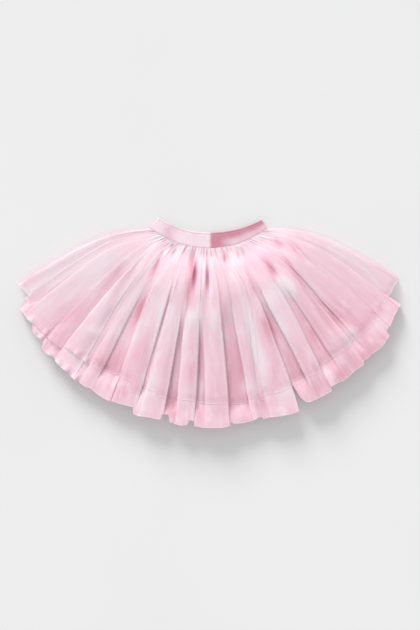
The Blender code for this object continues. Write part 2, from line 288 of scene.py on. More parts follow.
def colour(name, description, default):
    return bpy.props.FloatVectorProperty(
        name=name, description=description, default=default, subtype="COLOR", size=3, min=0, max=1
    )


class SkirtSizes(bpy.types.PropertyGroup):
    waist_radius: length("Waist radius", "From the fan's point to the band's lower edge", 0.152)
    fan_length: length("Fan length", "Length over which the folds change, the outer layer's", 0.24)
    band_height: length("Band height", "Height of the elastic at the centre front", 0.0243)
    band_left: length("Band height, left", "Height of the elastic at its left fold", 0.0200)
    band_right: length("Band height, right", "Height of the elastic at its right fold", 0.0156)
    tulle_wall: length("Tulle thickness", "Thickness of one tulle layer", 0.00035)
    layer_gap: length("Layer gap", "From the under layer to the outer layer", 0.0019)
    gathers: bpy.props.IntProperty(
        name="Gathers", description="Small gathers along the front of the band", default=62, min=1
    )
    wrinkles: bpy.props.IntProperty(
        name="Wrinkles", description="Fine lengthwise wrinkles of a front panel", default=190, min=1
    )
    broad_wrinkles: bpy.props.IntProperty(
        name="Broad wrinkles", description="Soft wrinkles of a front panel", default=70, min=1
    )
    stitches: bpy.props.IntProperty(
        name="Stitches", description="Stitches on each side of the band", default=62, min=1
    )


class SkirtColours(bpy.types.PropertyGroup):
    # The tulle runs from pale to deep with its tone, which holds the layers of tulle and also
    # painted shade and painted highlights.
    pale: colour("Pale tulle", "Where one thickness of tulle shows", (0.97, 0.88, 0.92))
    rose: colour("Rose tulle", "The tulle's usual colour", (0.95, 0.69, 0.78))
    deep: colour("Deep tulle", "Where the tulle lies in many thicknesses", (0.71, 0.28, 0.375))
    band_pale: colour("Pale satin", "The satin towards the light", (0.77, 0.63, 0.695))
    band_rose: colour("Rose satin", "The satin turned from the light", (0.49, 0.195, 0.26))
    # The cut edge's colour is a painted highlight along the hem.
    cut_edge_highlight: colour("Cut edge", "The tulle's bright cut edge", (1.0, 0.90, 0.93))
    thread: colour("Thread", "The gathering stitches", (0.40, 0.20, 0.27))
    thread_ply: colour("Thread ply", "The raised ply of the stitches", (0.62, 0.38, 0.47))
    floor: colour("Floor", "The pale floor", (0.674, 0.674, 0.674))


# --- Shape of the fan. Angles are in degrees, and shares are of the fan's length.

# Half the band's arc, and both sides at the hem.
WAIST_ANGLE = 38.0
SIDE_LEFT, SIDE_RIGHT = -55.8, 56.8

# How fast the sides open, and the shares at which the cloth has puffed up, the back's pleats
# have formed, the front's folds have formed, and these stand at their full rise.
SPREAD = 0.17
PUFFED = 0.16
BACK_FORMED = 0.20
FOLDS_FORMED = 0.30
FULL_RISE = 0.35

# The share at which a fold's upper angles hold, the control points of a fold, their kinds, and
# the two columns of their table that are read by number.
UPPER = 0.37
FOLD_CONTROLS = 9
FOOT, EDGE, CREST = 1, 0.5, 0
HEM_PLACE, REACH = 1, 4

# The under layer's width as a share of the outer one's.
UNDER_SHARE = 0.91

# Heights above the floor, in metres: the front's valleys, the seams at the band and at the under
# layer's sides, the outer layer's sides, and the two backs.
VALLEY_Z = 6.3 * MM
SEAM_Z = 3.6 * MM
OUTER_SIDE_Z = 1.2 * MM
UNDER_BACK_Z = 2.1 * MM
OUTER_BACK_Z = 0.6 * MM

# The back's pleats, its fine wrinkles, and the ribs of its gathers.
BACK_PLEATS = 14
PLEAT_RISE = 2.0 * MM
BACK_WRINKLES = 90
BACK_RIBS = 70

# Where the wings, their far ends and their quiet parts begin and are whole, left and right, and
# the columns over which the folds there are softened.
WINGS = (-36.2, -38.6), (37.4, 39.6)
FAR_ENDS = (-44.0, -48.0), (46.0, 50.0)
QUIET_ENDS = (-35, -40), (36, 40)
SOFT_COLUMNS, FAR_COLUMNS = 61, 121

# The strip of the under layer that shows below the outer one, in metres.
STRIP = 26 * MM

# The waistband's two layers lie half a gap above and below its middle.
BAND_MIDDLE_Z = 2.85 * MM
BAND_HALF_GAP = 1.95 * MM
BAND_WALL = 1.2 * MM
BAND_END = WAIST_ANGLE - 0.75

# The share of the band's height at which the seam below its welt lies.
SEAM_RISE = 0.885

# A stitch: its radius in metres, and how it is stretched along, across and upwards.
STITCH_RADIUS = 0.4 * MM
STITCH_SHAPE = (2.4, 1.0, 0.7)


def smooth(low, high, value):
    """A soft step from 0 at low to 1 at high."""
    share = np.clip((np.asarray(value, dtype=float) - low) / (high - low), 0, 1)
    return share * share * (3 - 2 * share)


def mixed(a, b, share):
    """a where the share is 0, and b where it is 1."""
    return a + (b - a) * share


def beyond(limits, angle):
    """1 past either limit and 0 between them, with a soft step at each."""
    left, right = limits
    return np.maximum(smooth(*left, angle), smooth(*right, angle))


def bell(middle, width, value):
    """A soft round hump: 1 at the middle, and nearly 0 at twice the width from it."""
    return np.exp(-(((value - middle) / width) ** 2))


def sides(share):
    """The angles of the fan's two sides at a share of its length."""
    opening = (1 - np.exp(-share / SPREAD)) / (1 - math.exp(-1 / SPREAD))
    return mixed(-WAIST_ANGLE, SIDE_LEFT, opening), mixed(WAIST_ANGLE, SIDE_RIGHT, opening)


def place_between(angle, share):
    """Where an angle lies between the fan's sides, from 0 to 1."""
    left, right = sides(share)
    return (angle - left) / (right - left)


def fan_centre(sizes):
    """The fan's point in the frame: above the middle of the band's lower edge."""
    return (BAND_LOW.x + BAND_HIGH.x) / 2, BAND_LOW.y + sizes.waist_radius


def control_table(folds):
    """The section's control points: each fold's foot, edge and crest, with the feet and the
    edges doubled, so that the curve holds to them. Columns: place at the upper section, place
    at the hem, height in metres, kind, the outer layer's reach, the share at which the valley
    opens, its depth, the signed tuck in degrees, and the crest's height in metres."""
    rows = []
    for index in folds:
        fold = FOLDS[index]
        before = FOLDS[max(0, index - 1)]
        crest = fold.rise * MM
        side = crest * fold.edge
        own = fold.reach * MM
        left_reach = before.valley_reach * MM if index else own
        right_reach = fold.valley_reach * MM
        middle = ((fold.upper_left + fold.upper_right) / 2, (fold.hem_left + fold.hem_right) / 2)
        left = (fold.upper_left, fold.hem_left)
        right = (fold.upper_right, fold.hem_right)
        points = (
            (*left, side, FOOT, left_reach, before.opens, before.depth, fold.tuck_left),
            (*left, side, EDGE, own, 0, 0, 0),
            (*middle, crest, CREST, own, 0, 0, 0),
            (*right, side, EDGE, own, 0, 0, 0),
            (*right, side, FOOT, right_reach, fold.opens, fold.depth, -fold.tuck_right),
        )
        for point, times in zip(points, (2, 2, 1, 2, 2)):
            upper, hem, *rest = point
            row = (place_between(upper, UPPER), place_between(hem, 1.0), *rest, crest)
            rows.extend([row] * times)
    return np.array(rows)


def spline_weights(columns, controls):
    """For each column, four neighbouring controls and their cubic weights."""
    along = np.linspace(0, controls - 1, columns)
    base = np.minimum(along.astype(int), controls - 2)
    t = along - base
    weights = np.stack(
        ((1 - t) ** 3, 3 * t**3 - 6 * t**2 + 4, -3 * t**3 + 3 * t**2 + 3 * t + 1, t**3), axis=1
    )
    neighbours = np.clip(base[:, None] + np.arange(-1, 3)[None, :], 0, controls - 1)
    return neighbours, weights / 6


def down_the_cloth(rows):
    """Shares of the way from the band to the hem, with close rows at the cut edge."""
    edge = (1 - 0.0065, 1 - 0.0030, 1 - 0.0012, 1.0)
    return np.concatenate((np.linspace(0, 1 - 0.012, rows - len(edge)), edge))


def blurred(field, width):
    """The field with each row averaged over a soft window of columns."""
    window = np.hanning(width + 2)[1:-1]
    window /= window.sum()
    padded = np.pad(field, ((0, 0), (width // 2, width // 2)), mode="edge")
    return np.array([np.convolve(row, window, mode="valid") for row in padded])


def hem_wander(layer, columns):
    """How far the cut edge of a front panel wanders in and out, in metres."""
    random = np.random.RandomState(SEEDS[layer + "_hem"])
    along = np.linspace(0, FULL_TURN, columns)
    wander = np.zeros(columns)
    for waves in (17, 31, 47, 83):
        wander += random.uniform(0.3, 0.8) * np.sin(waves * along + random.uniform(0, FULL_TURN))
    return wander * MM


def hem_reaches(table, neighbours, weights, layer):
    """How far the outer layer's hem and this layer's lie from the fan's point, by column."""
    hem_place = (table[neighbours, HEM_PLACE] * weights).sum(axis=1)
    hem_angle = mixed(SIDE_LEFT, SIDE_RIGHT, hem_place)
    steps = np.array(OUTER_STEPS)
    outer_reach = (table[neighbours, REACH] * weights).sum(axis=1)
    outer_reach = outer_reach + np.interp(hem_angle, steps[:, 0], steps[:, 1]) * MM
    reach = outer_reach
    if layer == "under":
        hem = np.array(UNDER_HEM)
        reach = np.interp(hem_angle, hem[:, 0], hem[:, 1]) * MM
    return outer_reach, reach + hem_wander(layer, len(reach))


def front_shape(sizes, folds, layer, columns, rows):
    """The mid surface of a front panel in fan coordinates: angle, distance and height, each an
    array of rows by columns, with the share of the length, and how hollow the cloth is, which the
    tone turns into painted shade in the valleys, less a painted highlight on each crisp edge, so
    below 0 there."""
    table = control_table(folds)
    neighbours, weights = spline_weights(columns, len(table))
    start = sizes.waist_radius
    outer_reach, reach = hem_reaches(table, neighbours, weights, layer)
    distance = start + (reach[None, :] - start) * down_the_cloth(rows)[:, None]
    share = (distance - start) / sizes.fan_length
    left, right = sides(share)
    to_folds = smooth(0.0, FOLDS_FORMED, share)
    to_hem = smooth(UPPER - PUFFED, 1.0, share)
    puff = smooth(-0.02, PUFFED, share)
    rise = smooth(-0.05, FULL_RISE, share) * puff
    below_outer = distance - outer_reach[None, :]
    past_outer = smooth(2 * MM, STRIP, below_outer)
    to_dome = 0.2 + 0.8 * smooth(0.3, 0.85, share)
    total = len(FOLDS) * FOLD_CONTROLS
    first = folds[0] * FOLD_CONTROLS
    place = np.zeros_like(share)
    height = np.zeros_like(share)
    hollow = np.zeros_like(share)
    edge_highlight = np.zeros_like(share)
    for step in range(4):
        control = neighbours[:, step]
        weight = weights[:, step][None, :]
        upper, hem, up, kind, _, opens, depth, tuck, crest = table[control].T
        gathered = (first + control + 1) / (total + 1)
        folded = mixed(upper[None, :], hem[None, :], to_hem)
        forming = smooth(-0.10, 0.12, share - opens) * depth[None, :]
        opened = forming * (1 - 0.8 * past_outer)
        folded = folded + tuck[None, :] * np.sqrt(opened) / (right - left)
        place += weight * mixed(gathered[None, :], folded, to_folds)
        domed = mixed(0.9 * crest[None, :], up[None, :], to_dome)
        height += weight * domed * (1 - opened)
        hollow += weight * (kind == FOOT)[None, :] * forming
        edge_highlight += weight * (kind == EDGE)[None, :]
    angle = mixed(left, right, place)
    low = mixed(SEAM_Z, VALLEY_Z, puff)
    hollow = hollow * (1 - 0.6 * smooth(0, STRIP, below_outer))
    upper_part = 1 - smooth(0.22, 0.5, share)
    softness = np.maximum(0.85 * upper_part, beyond(WINGS, angle))
    if layer == "under":
        softness = np.maximum(softness, 0.55 * past_outer)
    height = mixed(height, blurred(height, SOFT_COLUMNS), softness)
    height = mixed(height, blurred(height, FAR_COLUMNS), beyond(FAR_ENDS, angle))
    hollow = mixed(hollow, blurred(hollow, SOFT_COLUMNS), softness)
    # A painted highlight along the crisp edges of the folds, taken off the hollow.
    edge_highlight = np.clip(edge_highlight - 0.62, 0, 1) * smooth(0.25, 0.6, share) * (1 - softness)
    return angle, distance, low + height * rise, share, hollow - 0.9 * edge_highlight


def add_ends(shape, side_share, end_z, columns):
    """Brings both sides of a front panel down to its side seams in a round turn."""
    angle, distance, height, share, profile = shape
    left, right = sides(share)
    place = (angle - left) / (right - left)
    arrays = (place, distance, height, share, profile)
    turns = np.linspace(0, 1, columns + 1)[1:] * math.pi / 2
    ends = []
    for column, goal in ((0, (1 - side_share) / 2), (-1, (1 + side_share) / 2)):
        added = [np.repeat(array[:, column][:, None], columns, axis=1) for array in arrays]
        # The place goes out to the seam, and the height comes down to it.
        added[0] = mixed(added[0], goal, np.sin(turns)[None, :])
        added[2] = mixed(added[2], end_z, 1 - np.cos(turns)[None, :])
        ends.append(added)
    place, distance, height, share, profile = (
        np.concatenate((before[:, ::-1], array, after), axis=1)
        for before, array, after in zip(ends[0], arrays, ends[1])
    )
    left, right = sides(share)
    return mixed(left, right, place), distance, height, share, profile


def to_points(sizes, angle, distance, height):
    """Fan coordinates turned into points of the frame."""
    centre_x, centre_y = fan_centre(sizes)
    turned = np.radians(angle)
    return np.stack(
        (centre_x + distance * np.sin(turned), centre_y - distance * np.cos(turned), height), -1
    )


def surface_normals(points):
    """The unit normal at each point of a grid, upwards where the cloth lies face up."""
    across = np.gradient(points, axis=1)
    down = np.gradient(points, axis=0)
    normals = np.cross(down, across)
    size = np.linalg.norm(normals, axis=2, keepdims=True)
    return normals / np.maximum(size, 1e-12)


def cloth_places(row):
    """How far each column lies across the cloth, in metres, measured along one row."""
    steps = np.linalg.norm(np.diff(row, axis=0), axis=1)
    return np.concatenate(([0], np.cumsum(steps)))


def gather_field(sizes, share, place):
    """Height of the small gathers below the band, in metres, and the tone painted on them: a
    painted highlight on each ridge and painted shade in the pockets between them."""
    random = np.random.RandomState(SEEDS["gathers"])
    below = share * sizes.fan_length
    height = np.zeros_like(share)
    tone = np.zeros_like(share)
    for number in range(sizes.gathers):
        middle = (number + 0.5 + random.uniform(-0.38, 0.38)) / sizes.gathers
        width = random.uniform(0.30, 0.56) / sizes.gathers
        tall = random.uniform(0.35, 1.1) * MM
        fade = random.choice(GATHER_LENGTHS) * random.uniform(0.8, 1.2) * MM
        drift = random.uniform(-0.4, 0.4) / sizes.gathers
        across = (place - middle - drift * below / fade) / (width * (1 + below / fade))
        ridge = np.exp(-(across**2)) * bell(0, fade, below) * smooth(-1 * MM, 3.5 * MM, below)
        height += tall * ridge
        # A painted highlight on the gather's ridge.
        tone -= 0.24 * ridge
        if random.uniform() < POCKETS:
            sunk = middle + 0.5 / sizes.gathers
            pocket_end = random.uniform(6, 17) * MM
            pocket = bell(sunk, 0.36 / sizes.gathers, place)
            pocket = pocket * bell(0.55 * pocket_end, 0.5 * pocket_end, below)
            height -= 0.7 * MM * pocket * smooth(0, 3 * MM, below)
            # Painted shade in the sunk pocket.
            tone += random.uniform(0.2, 0.6) * pocket
    return height, tone


def wrinkle_field(ranges, seed, count, share, place, either_way=False):
    """Height of lengthwise wrinkles, in metres, that rise or, either way, also sink."""
    random = np.random.RandomState(seed)
    height = np.zeros_like(share)
    for _ in range(count):
        draws = [random.uniform(low, high) for low, high in ranges]
        middle, centre, reach, width, lean, tall = draws
        if either_way:
            tall *= random.choice((-1, 1))
        across = (place - middle - lean * (share - centre)) / width
        height += tall * MM * bell(centre, reach, share) * np.exp(-(across**2))
    return height


def spread_over(spots, sizes, angle, share, value):
    """The sum of the spots' soft rounds, each with its own value."""
    below = share * sizes.fan_length
    total = np.zeros_like(share)
    for spot in spots:
        across = (angle - spot.angle) / spot.half_width
        along = (below - spot.below * MM) / (spot.half_length * MM)
        total += getattr(spot, value) * np.exp(-(across**2) - along**2)
    return total


def grid_object(name, points, values):
    """A grid moved onto the points, with its cloth map and its values kept as attributes."""
    rows, columns = points.shape[:2]
    bm = bmesh.new()
    bmesh.ops.create_grid(bm, x_segments=columns - 1, y_segments=rows - 1, size=1)
    for face in bm.faces:
        face.smooth = True
    mesh = bpy.data.meshes.new(name)
    bm.to_mesh(mesh)
    bm.free()
    mesh.vertices.foreach_set("co", points[::-1].ravel())
    corners = np.zeros(len(mesh.loops), dtype=np.int32)
    mesh.loops.foreach_get("vertex_index", corners)
    for key, value in values.items():
        flipped = np.ascontiguousarray(np.broadcast_to(value, points.shape[:2] + value.shape[2:]))
        flipped = flipped[::-1]
        if key == "cloth":
            layer = mesh.uv_layers.new(name=key)
            layer.uv.foreach_set("vector", flipped.reshape(-1, 2)[corners].ravel())
        else:
            layer = mesh.attributes.new(key, "FLOAT", "POINT")
            layer.data.foreach_set("value", flipped.ravel())
    mesh.update()
    piece = bpy.data.objects.new(name, mesh)
    bpy.context.scene.collection.objects.link(piece)
    return piece


def add_wall(piece, thickness):
    """Gives a sheet its thickness, half to each side."""
    solid = piece.modifiers.new("wall", "SOLIDIFY")
    solid.thickness = thickness
    solid.offset = 0.0
    return piece


def hem_curls(angle, down):
    """Lift of the small curls at the cut edge of the left wing, in metres."""
    random = np.random.RandomState(SEEDS["curls"])
    lift = np.zeros_like(angle)
    for middle in CURLS:
        width = random.uniform(0.45, 0.8)
        tall = random.uniform(3.5, 6.5) * MM
        lift += tall * bell(middle, width, angle)
    return lift * smooth(0.95, 1.0, down)


def front_wrinkles(sizes, angle, share, place):
    """Height of a front panel's fine and broad wrinkles, in metres: lower in the wings."""
    quiet = beyond(QUIET_ENDS, angle)
    fine = wrinkle_field(FINE_WRINKLES, SEEDS["wrinkles"], sizes.wrinkles, share, place)
    fine = fine * mixed(0.5, 0.9, smooth(0.35, 0.85, share)) * (1 - 0.6 * quiet)
    broad = wrinkle_field(
        BROAD_WRINKLES, SEEDS["broad"], sizes.broad_wrinkles, share, place, either_way=True
    )
    return fine + broad * (1 - 0.3 * quiet)


def front_tone(sizes, angle, share, hollow, normals, wrinkles, keep):
    """How deep a front panel's tulle looks: about 0 for pale and 1 for the deepest. Besides the
    tulle's layers, it holds painted shade and painted highlights.
    """
    slope = np.clip(1 - abs(normals[..., 2]), 0, 0.8)
    # Painted light across the fan: paler on the left wing, which faces the light, and deeper to the
    # right.
    shade_towards_right = 0.12 * smooth(-45, 40, angle)
    to_hem = 0.18 * smooth(0.35, 1.0, share) + 0.06 * smooth(1.02, 1.08, share)
    # Painted shade below the band, against the strong light on the cloth's rise there.
    shade_below_band = 0.09 * bell(0.16, 0.2, share)
    # Painted shade in the valleys, with a painted highlight on the crisp fold edges.
    valley_shade = 0.56 * hollow
    # Deeper on steep sides: the net seen edge-on looks denser, and part of it is painted shade.
    slope_depth_and_shade = 0.36 * slope * mixed(0.8, 1, keep)
    # A painted highlight on raised wrinkles and painted shade in sunk ones.
    wrinkle_highlight_and_shade = -0.10 * wrinkles / MM
    # Painted shade on the left side's turn, where the light falls strongly.
    left_turn_shade = 0.34 * (1 - keep) * (angle < 0)
    # Patches of painted shade and painted highlight, and of the tulle's layers.
    layers_and_painted_light = spread_over(TINTS, sizes, angle, share, "tone")
    tone = 0.10 + shade_towards_right + to_hem + shade_below_band + valley_shade + slope_depth_and_shade
    return tone + wrinkle_highlight_and_shade + left_turn_shade + layers_and_painted_light


def front_panel(name, layer, folds, side_share, outward, end_z, sizes):
    """A front panel: its folds, turned down at both sides, with gathers, wrinkles and curls."""
    columns, rows, turn = 500, 94, 8
    shape = front_shape(sizes, folds, layer, columns, rows)
    angle, distance, height, share, hollow = add_ends(shape, side_share, end_z, turn)
    points = to_points(sizes, angle, distance, height)
    normals = surface_normals(points)
    whole = columns + 2 * turn
    first = (folds[0] + 0.5 / FOLD_CONTROLS) / len(FOLDS)
    last = (folds[-1] + 1 - 0.5 / FOLD_CONTROLS) / len(FOLDS)
    place = np.broadcast_to(np.linspace(first, last, whole), share.shape)
    side = np.minimum(np.arange(whole), np.arange(whole)[::-1]) / turn
    keep = smooth(0.0, 2.0, side)[None, :]
    down = np.broadcast_to(down_the_cloth(rows)[:, None], share.shape)

    gathers, gather_light_and_shade = gather_field(sizes, share, place)
    wrinkles = front_wrinkles(sizes, angle, share, place)
    swells = spread_over(SWELLS, sizes, angle, share, "height") * MM
    offset = outward * sizes.layer_gap * mixed(0.75, 1.0, smooth(0.0, 0.02, share))
    offset = offset * mixed(1.0, 0.3, smooth(0.93, 1.0, down))
    points = points + normals * ((gathers + wrinkles + offset) * keep)[..., None]
    points[..., 2] += swells * smooth(0.0, 0.05, share) * keep
    points[..., 2] += hem_curls(angle, down)
    points[..., 2] = np.maximum(points[..., 2], end_z)

    below = distance - sizes.waist_radius
    normals = surface_normals(points)
    tone = front_tone(sizes, angle, share, hollow, normals, wrinkles, keep)
    across = np.broadcast_to(cloth_places(points[-1]), share.shape)
    values = {
        "cloth": np.stack((across, below), -1),
        "tone": tone + gather_light_and_shade,
        "hem": (1 - down) * below[-1][None, :],
    }
    return add_wall(grid_object(name, points, values), sizes.tulle_wall)


def back_panel(name, layer, side_share, base_z, sizes):
    """A back panel: flat, with shallow pleats, fine wrinkles and ribs near the band."""
    columns, rows = 360, 60
    place = np.linspace((1 - side_share) / 2, (1 + side_share) / 2, columns)
    hem_angle = mixed(SIDE_LEFT, SIDE_RIGHT, place)
    reaches = [getattr(row, layer + "_reach") for row in BACK_HEM]
    reach = np.interp(hem_angle, [row.angle for row in BACK_HEM], reaches) * MM
    down = np.linspace(0, 1, rows)[:, None]
    below = (reach - sizes.waist_radius)[None, :] * down
    share = below / sizes.fan_length
    left, right = sides(share)
    places = np.broadcast_to(place, share.shape)
    formed = smooth(0.0, BACK_FORMED, share)
    pleat = (place * BACK_PLEATS) % 1.0
    crease = np.clip(1 - abs(pleat - 0.5) / 0.08, 0, 1) * formed
    height = base_z + PLEAT_RISE * crease
    if layer == "under":
        height = height + 0.5 * MM * formed
    fine = wrinkle_field(FINE_WRINKLES, SEEDS["back"], BACK_WRINKLES, share, places)
    fine = np.clip(fine * 0.5, -0.35 * MM, 0.35 * MM) * smooth(0.0, 0.02, share)
    ribs = np.sin(places * 2 * math.pi * BACK_RIBS + 1.5 * np.sin(places * 41))
    gathers = 0.22 * MM * (1 + ribs) * bell(0, 0.28, share)
    angle, distance = mixed(left, right, places), below + sizes.waist_radius
    points = to_points(sizes, angle, distance, height + fine + gathers)
    across = np.broadcast_to(cloth_places(points[-1]), share.shape)
    values = {
        "cloth": np.stack((across, below), -1),
        "tone": 0.25 + 0.2 * bell(0, 0.2, share) + 0.25 * crease,
        "hem": (1 - down) * below[-1][None, :],
    }
    return add_wall(grid_object(name, points, values), sizes.tulle_wall)


# --- Materials

# The tone at which the tulle has its usual rose. The scales below are repeats in each metre of
# cloth, across it and along it.
USUAL_TONE = 0.42


class Nodes:
    """Short calls for a material's node tree."""

    def __init__(self, name):
        self.material = bpy.data.materials.new(name)
        self.material.use_nodes = True
        self.tree = self.material.node_tree
        self.shader = self.tree.nodes["Principled BSDF"]

    def add(self, kind, inputs=None, **settings):
        node = self.tree.nodes.new(kind)
        for key, value in settings.items():
            setattr(node, key, value)
        for key, value in (inputs or {}).items():
            self.put(node.inputs[key], value)
        return node

    def put(self, socket, value):
        if isinstance(value, bpy.types.NodeSocket):
            self.tree.links.new(value, socket)
        else:
            socket.default_value = value

    def maths(self, operation, first, second, clamp=False):
        node = self.add("ShaderNodeMath", {0: first, 1: second}, operation=operation)
        node.use_clamp = clamp
        return node.outputs[0]

    def blend(self, factor, first, second, kind="MIX"):
        node = self.add("ShaderNodeMix", data_type="RGBA", blend_type=kind)
        self.put(node.inputs["Factor"], factor)
        self.put(node.inputs[6], first)
        self.put(node.inputs[7], second)
        return node.outputs[2]

    def fit(self, value, low, high, to_low, to_high):
        inputs = {"Value": value, 1: low, 2: high, 3: to_low, 4: to_high}
        return self.add("ShaderNodeMapRange", inputs).outputs[0]

    def spread(self, noise, low, high):
        """Spreads a noise's usual range from low to high."""
        return self.fit(noise, 0.3, 0.7, low, high)

    def attribute(self, name):
        return self.add("ShaderNodeAttribute", attribute_name=name).outputs["Fac"]

    def map_scaled(self, source, scale):
        node = self.add("ShaderNodeMapping", {"Vector": source})
        node.inputs["Scale"].default_value = scale
        return node.outputs[0]

    def noise(self, vector, detail=2.0, roughness=0.5, scale=1.0):
        inputs = {"Vector": vector, "Scale": scale, "Detail": detail, "Roughness": roughness}
        return self.add("ShaderNodeTexNoise", inputs).outputs["Fac"]


def rgba(colour_value):
    return (*colour_value, 1.0)


def tulle_material(name, colours, cover, glow):
    """Sheer net: streaks along the cloth, deeper pink as painted shade in the valleys, paler
    patches of painted sheen, a fine mesh, a painted highlight on the cut edge, and light that comes
    through from behind."""
    made = Nodes(name)
    cloth = made.add("ShaderNodeUVMap", uv_map="cloth").outputs[0]
    streak = made.noise(made.map_scaled(cloth, (260.0, 11.0, 1.0)), 4.0, 0.65)
    broad = made.noise(made.map_scaled(cloth, (70.0, 16.0, 1.0)))
    crumple = made.noise(made.map_scaled(cloth, (160.0, 90.0, 1.0)))
    sheen_patches = made.noise(made.map_scaled(cloth, (62.0, 26.0, 1.0)), 3.0, 0.6)
    hem = made.attribute("hem")

    tone = made.maths("ADD", made.attribute("tone"), made.spread(streak, -0.10, 0.10))
    tone = made.maths("ADD", tone, made.spread(broad, -0.08, 0.08))
    # Paler patches of painted sheen.
    tone = made.maths("SUBTRACT", tone, made.fit(sheen_patches, 0.54, 0.70, 0.0, 0.26))
    ramp = made.add("ShaderNodeValToRGB", {"Fac": tone})
    ramp.color_ramp.elements[0].color = rgba(colours.pale)
    ramp.color_ramp.elements[0].position = 0.0
    ramp.color_ramp.elements[1].color = rgba(colours.deep)
    ramp.color_ramp.elements[1].position = 1.0
    middle = ramp.color_ramp.elements.new(USUAL_TONE)
    middle.color = rgba(colours.rose)
    # A painted highlight along the cut edge.
    edge = made.fit(hem, 0.0006, 0.0018, 0.45, 0.0)
    base = made.blend(edge, ramp.outputs[0], rgba(colours.cut_edge_highlight))
    made.put(made.shader.inputs["Base Color"], base)

    mesh = made.map_scaled(cloth, (520.0, 520.0, 1.0))
    threads = {"Vector": mesh, "Scale": 1.0, "Distortion": 0.3}
    weft = made.add("ShaderNodeTexWave", threads, bands_direction="X")
    warp = made.add("ShaderNodeTexWave", threads, bands_direction="Y")
    net = made.maths("MAXIMUM", weft.outputs["Fac"], warp.outputs["Fac"])
    relief = made.maths("ADD", streak, made.maths("MULTIPLY", net, 0.12))
    relief = made.maths("ADD", relief, made.maths("MULTIPLY", crumple, 0.5))
    bump = made.add("ShaderNodeBump", {"Height": relief, "Strength": 0.35, "Distance": 0.0006})
    made.put(made.shader.inputs["Normal"], bump.outputs[0])
    made.put(made.shader.inputs["Roughness"], made.spread(streak, 0.34, 0.52))
    made.shader.inputs["Sheen Weight"].default_value = 0.2
    made.shader.inputs["Sheen Roughness"].default_value = 0.4
    made.shader.inputs["Specular IOR Level"].default_value = 0.3

    through = made.add("ShaderNodeBsdfTranslucent", {"Color": base, "Normal": bump.outputs[0]})
    lit = made.add("ShaderNodeMixShader", {0: glow})
    made.put(lit.inputs[1], made.shader.outputs[0])
    made.put(lit.inputs[2], through.outputs[0])
    clear = made.add("ShaderNodeBsdfTransparent")
    shown = made.add("ShaderNodeMixShader")
    seen = made.maths("ADD", made.fit(net, 0.0, 1.0, -0.07, 0.05), cover)
    seen = made.maths("ADD", seen, made.fit(hem, 0.0, 0.012, -0.16, 0.0))
    seen = made.maths("ADD", seen, made.maths("MULTIPLY", edge, 0.5), clamp=True)
    made.put(shown.inputs[0], seen)
    made.put(shown.inputs[1], clear.outputs[0])
    made.put(shown.inputs[2], lit.outputs[0])
    made.put(made.tree.nodes["Material Output"].inputs["Surface"], shown.outputs[0])
    return made.material


def satin_material(colours):
    """Satin with painted sheen: pale or rose by how it is turned to the light, with fine ribs
    across the elastic.
    """
    made = Nodes("satin_band")
    cloth = made.add("ShaderNodeUVMap", uv_map="cloth").outputs[0]
    turned = made.attribute("turned")
    rib = made.noise(made.map_scaled(cloth, (1400.0, 30.0, 1.0)))
    cloud = made.noise(made.map_scaled(cloth, (45.0, 60.0, 1.0)))
    tone = made.maths("ADD", turned, made.spread(cloud, -0.10, 0.10))
    tone = made.maths("ADD", tone, made.spread(rib, -0.06, 0.06), clamp=True)
    base = made.blend(tone, rgba(colours.band_pale), rgba(colours.band_rose))
    made.put(made.shader.inputs["Base Color"], base)
    bump = made.add("ShaderNodeBump", {"Height": rib, "Strength": 0.3, "Distance": 0.0003})
    made.put(made.shader.inputs["Normal"], bump.outputs[0])
    made.put(made.shader.inputs["Roughness"], made.spread(rib, 0.28, 0.42))
    made.shader.inputs["Sheen Weight"].default_value = 0.25
    made.shader.inputs["Sheen Roughness"].default_value = 0.35
    made.shader.inputs["Specular IOR Level"].default_value = 0.5
    return made.material


def thread_material(colours):
    """Twisted thread in two shades."""
    made = Nodes("gathering_thread")
    place = made.add("ShaderNodeTexCoord").outputs["Object"]
    ply = made.noise(made.map_scaled(place, (4000.0, 4000.0, 4000.0)), detail=1.0)
    base = made.blend(ply, rgba(colours.thread), rgba(colours.thread_ply))
    made.put(made.shader.inputs["Base Color"], base)
    bump = made.add("ShaderNodeBump", {"Height": ply, "Strength": 0.4, "Distance": 0.0001})
    made.put(made.shader.inputs["Normal"], bump.outputs[0])
    made.shader.inputs["Roughness"].default_value = 0.5
    return made.material


def floor_material(colours):
    """A plain pale floor with a very faint cloudiness."""
    made = Nodes("pale_floor")
    place = made.add("ShaderNodeTexCoord").outputs["Object"]
    cloud = made.noise(place, scale=2.5)
    lift = made.spread(cloud, 0.985, 1.01)
    base = made.blend(1.0, rgba(colours.floor), lift, "MULTIPLY")
    made.put(made.shader.inputs["Base Color"], base)
    made.shader.inputs["Roughness"].default_value = 0.9
    made.shader.inputs["Specular IOR Level"].default_value = 0.1
    return made.material


# --- Pieces


def sew(piece, node, material):
    """Gives a piece its material and slot, and puts it in the place of its solid."""
    piece.data.materials.append(material)
    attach(piece, "root")
    if node:
        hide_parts(node)


class SKIRT_OT_under_layer(bpy.types.Operator):
    """Models the front and the back of the longer under layer"""

    bl_idname = "skirt.under_layer"
    bl_label = "Under layer"

    def execute(self, context):
        sizes, colours = context.scene.skirt_sizes, context.scene.skirt_colours
        cloth = tulle_material("under_tulle", colours, cover=0.74, glow=0.30)
        folds = list(range(1, len(FOLDS) - 1))
        front = front_panel(
            "under_front_cloth", "under", folds, UNDER_SHARE, 0.0, SEAM_Z, sizes
        )
        sew(front, "under_front", cloth)
        back = back_panel("under_back_cloth", "under", UNDER_SHARE, UNDER_BACK_Z, sizes)
        sew(back, "under_back", cloth)
        return {"FINISHED"}


